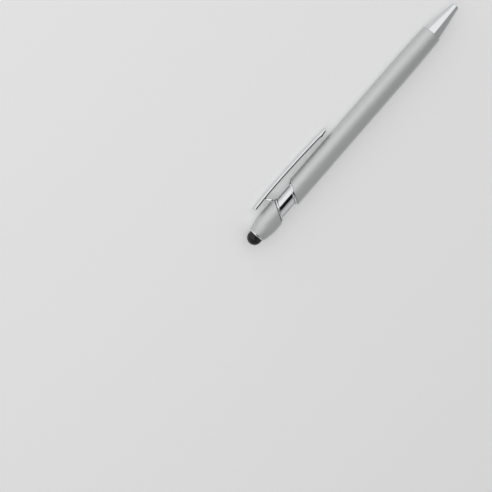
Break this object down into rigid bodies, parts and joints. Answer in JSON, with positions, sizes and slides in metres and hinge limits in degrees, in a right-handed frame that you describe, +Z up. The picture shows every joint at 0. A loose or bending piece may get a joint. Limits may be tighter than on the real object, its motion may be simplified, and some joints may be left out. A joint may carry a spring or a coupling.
{
  "type": "stylus pen",
  "caption": "Push-action ballpoint pen with a rubber stylus dome on its sliding cap, an arched bright clip and slanted trim rings on a bare neck.",
  "frame": {"origin": "on the pen's axis, halfway along the straight part of the barrel", "axes": "+X along the pen towards the writing end, +Z up with the pen lying on a table, clip leaning down on the +Y side"},
  "size_m": [0.138, 0.0145, 0.0102],
  "materials": {
    "satin_grey": "fine satin",
    "bright_chrome": "polished",
    "black_rubber": "matt",
    "black_plastic": "moulded",
    "brass": "turned",
    "spring_steel": "drawn wire",
    "refill_metal": "plated",
    "ink": "oil ink",
    "ball_carbide": "polished"
  },
  "bodies": {
    "barrel": {"neck_tube": "bright_chrome", "cam_guide": "black_plastic", "barrel_trim_ring": "bright_chrome", "barrel_tube": "satin_grey", "nose_bush": "brass", "nose_cone": "bright_chrome", "return_spring": "spring_steel"},
    "cap": {"stylus_dome": "black_rubber", "stylus_collar": "bright_chrome", "cap_shell": "satin_grey", "cap_liner": "black_plastic", "cap_trim_ring": "bright_chrome", "clip": "bright_chrome", "plunger": "black_plastic"},
    "refill": {"rotor": "black_plastic", "refill_plug": "black_plastic", "refill_tube": "refill_metal", "ink_column": "ink", "refill_point": "refill_metal", "writing_ball": "ball_carbide"}
  },
  "joints": [
    {"name": "cap_press", "type": "slide", "parent": "barrel", "child": "cap", "axis": [1, 0, 0], "range_m": [0, 0.0055], "stiffness_N_per_m": 300, "springref_m": -0.006},
    {"name": "refill_slide", "type": "slide", "parent": "barrel", "child": "refill", "axis": [1, 0, 0], "range_m": [0, 0.0055], "deforming": ["return_spring"]}
  ],
  "couplings": [
    {"joint": "refill_slide", "follows": "cap_press", "ratio": 1}
  ]
}
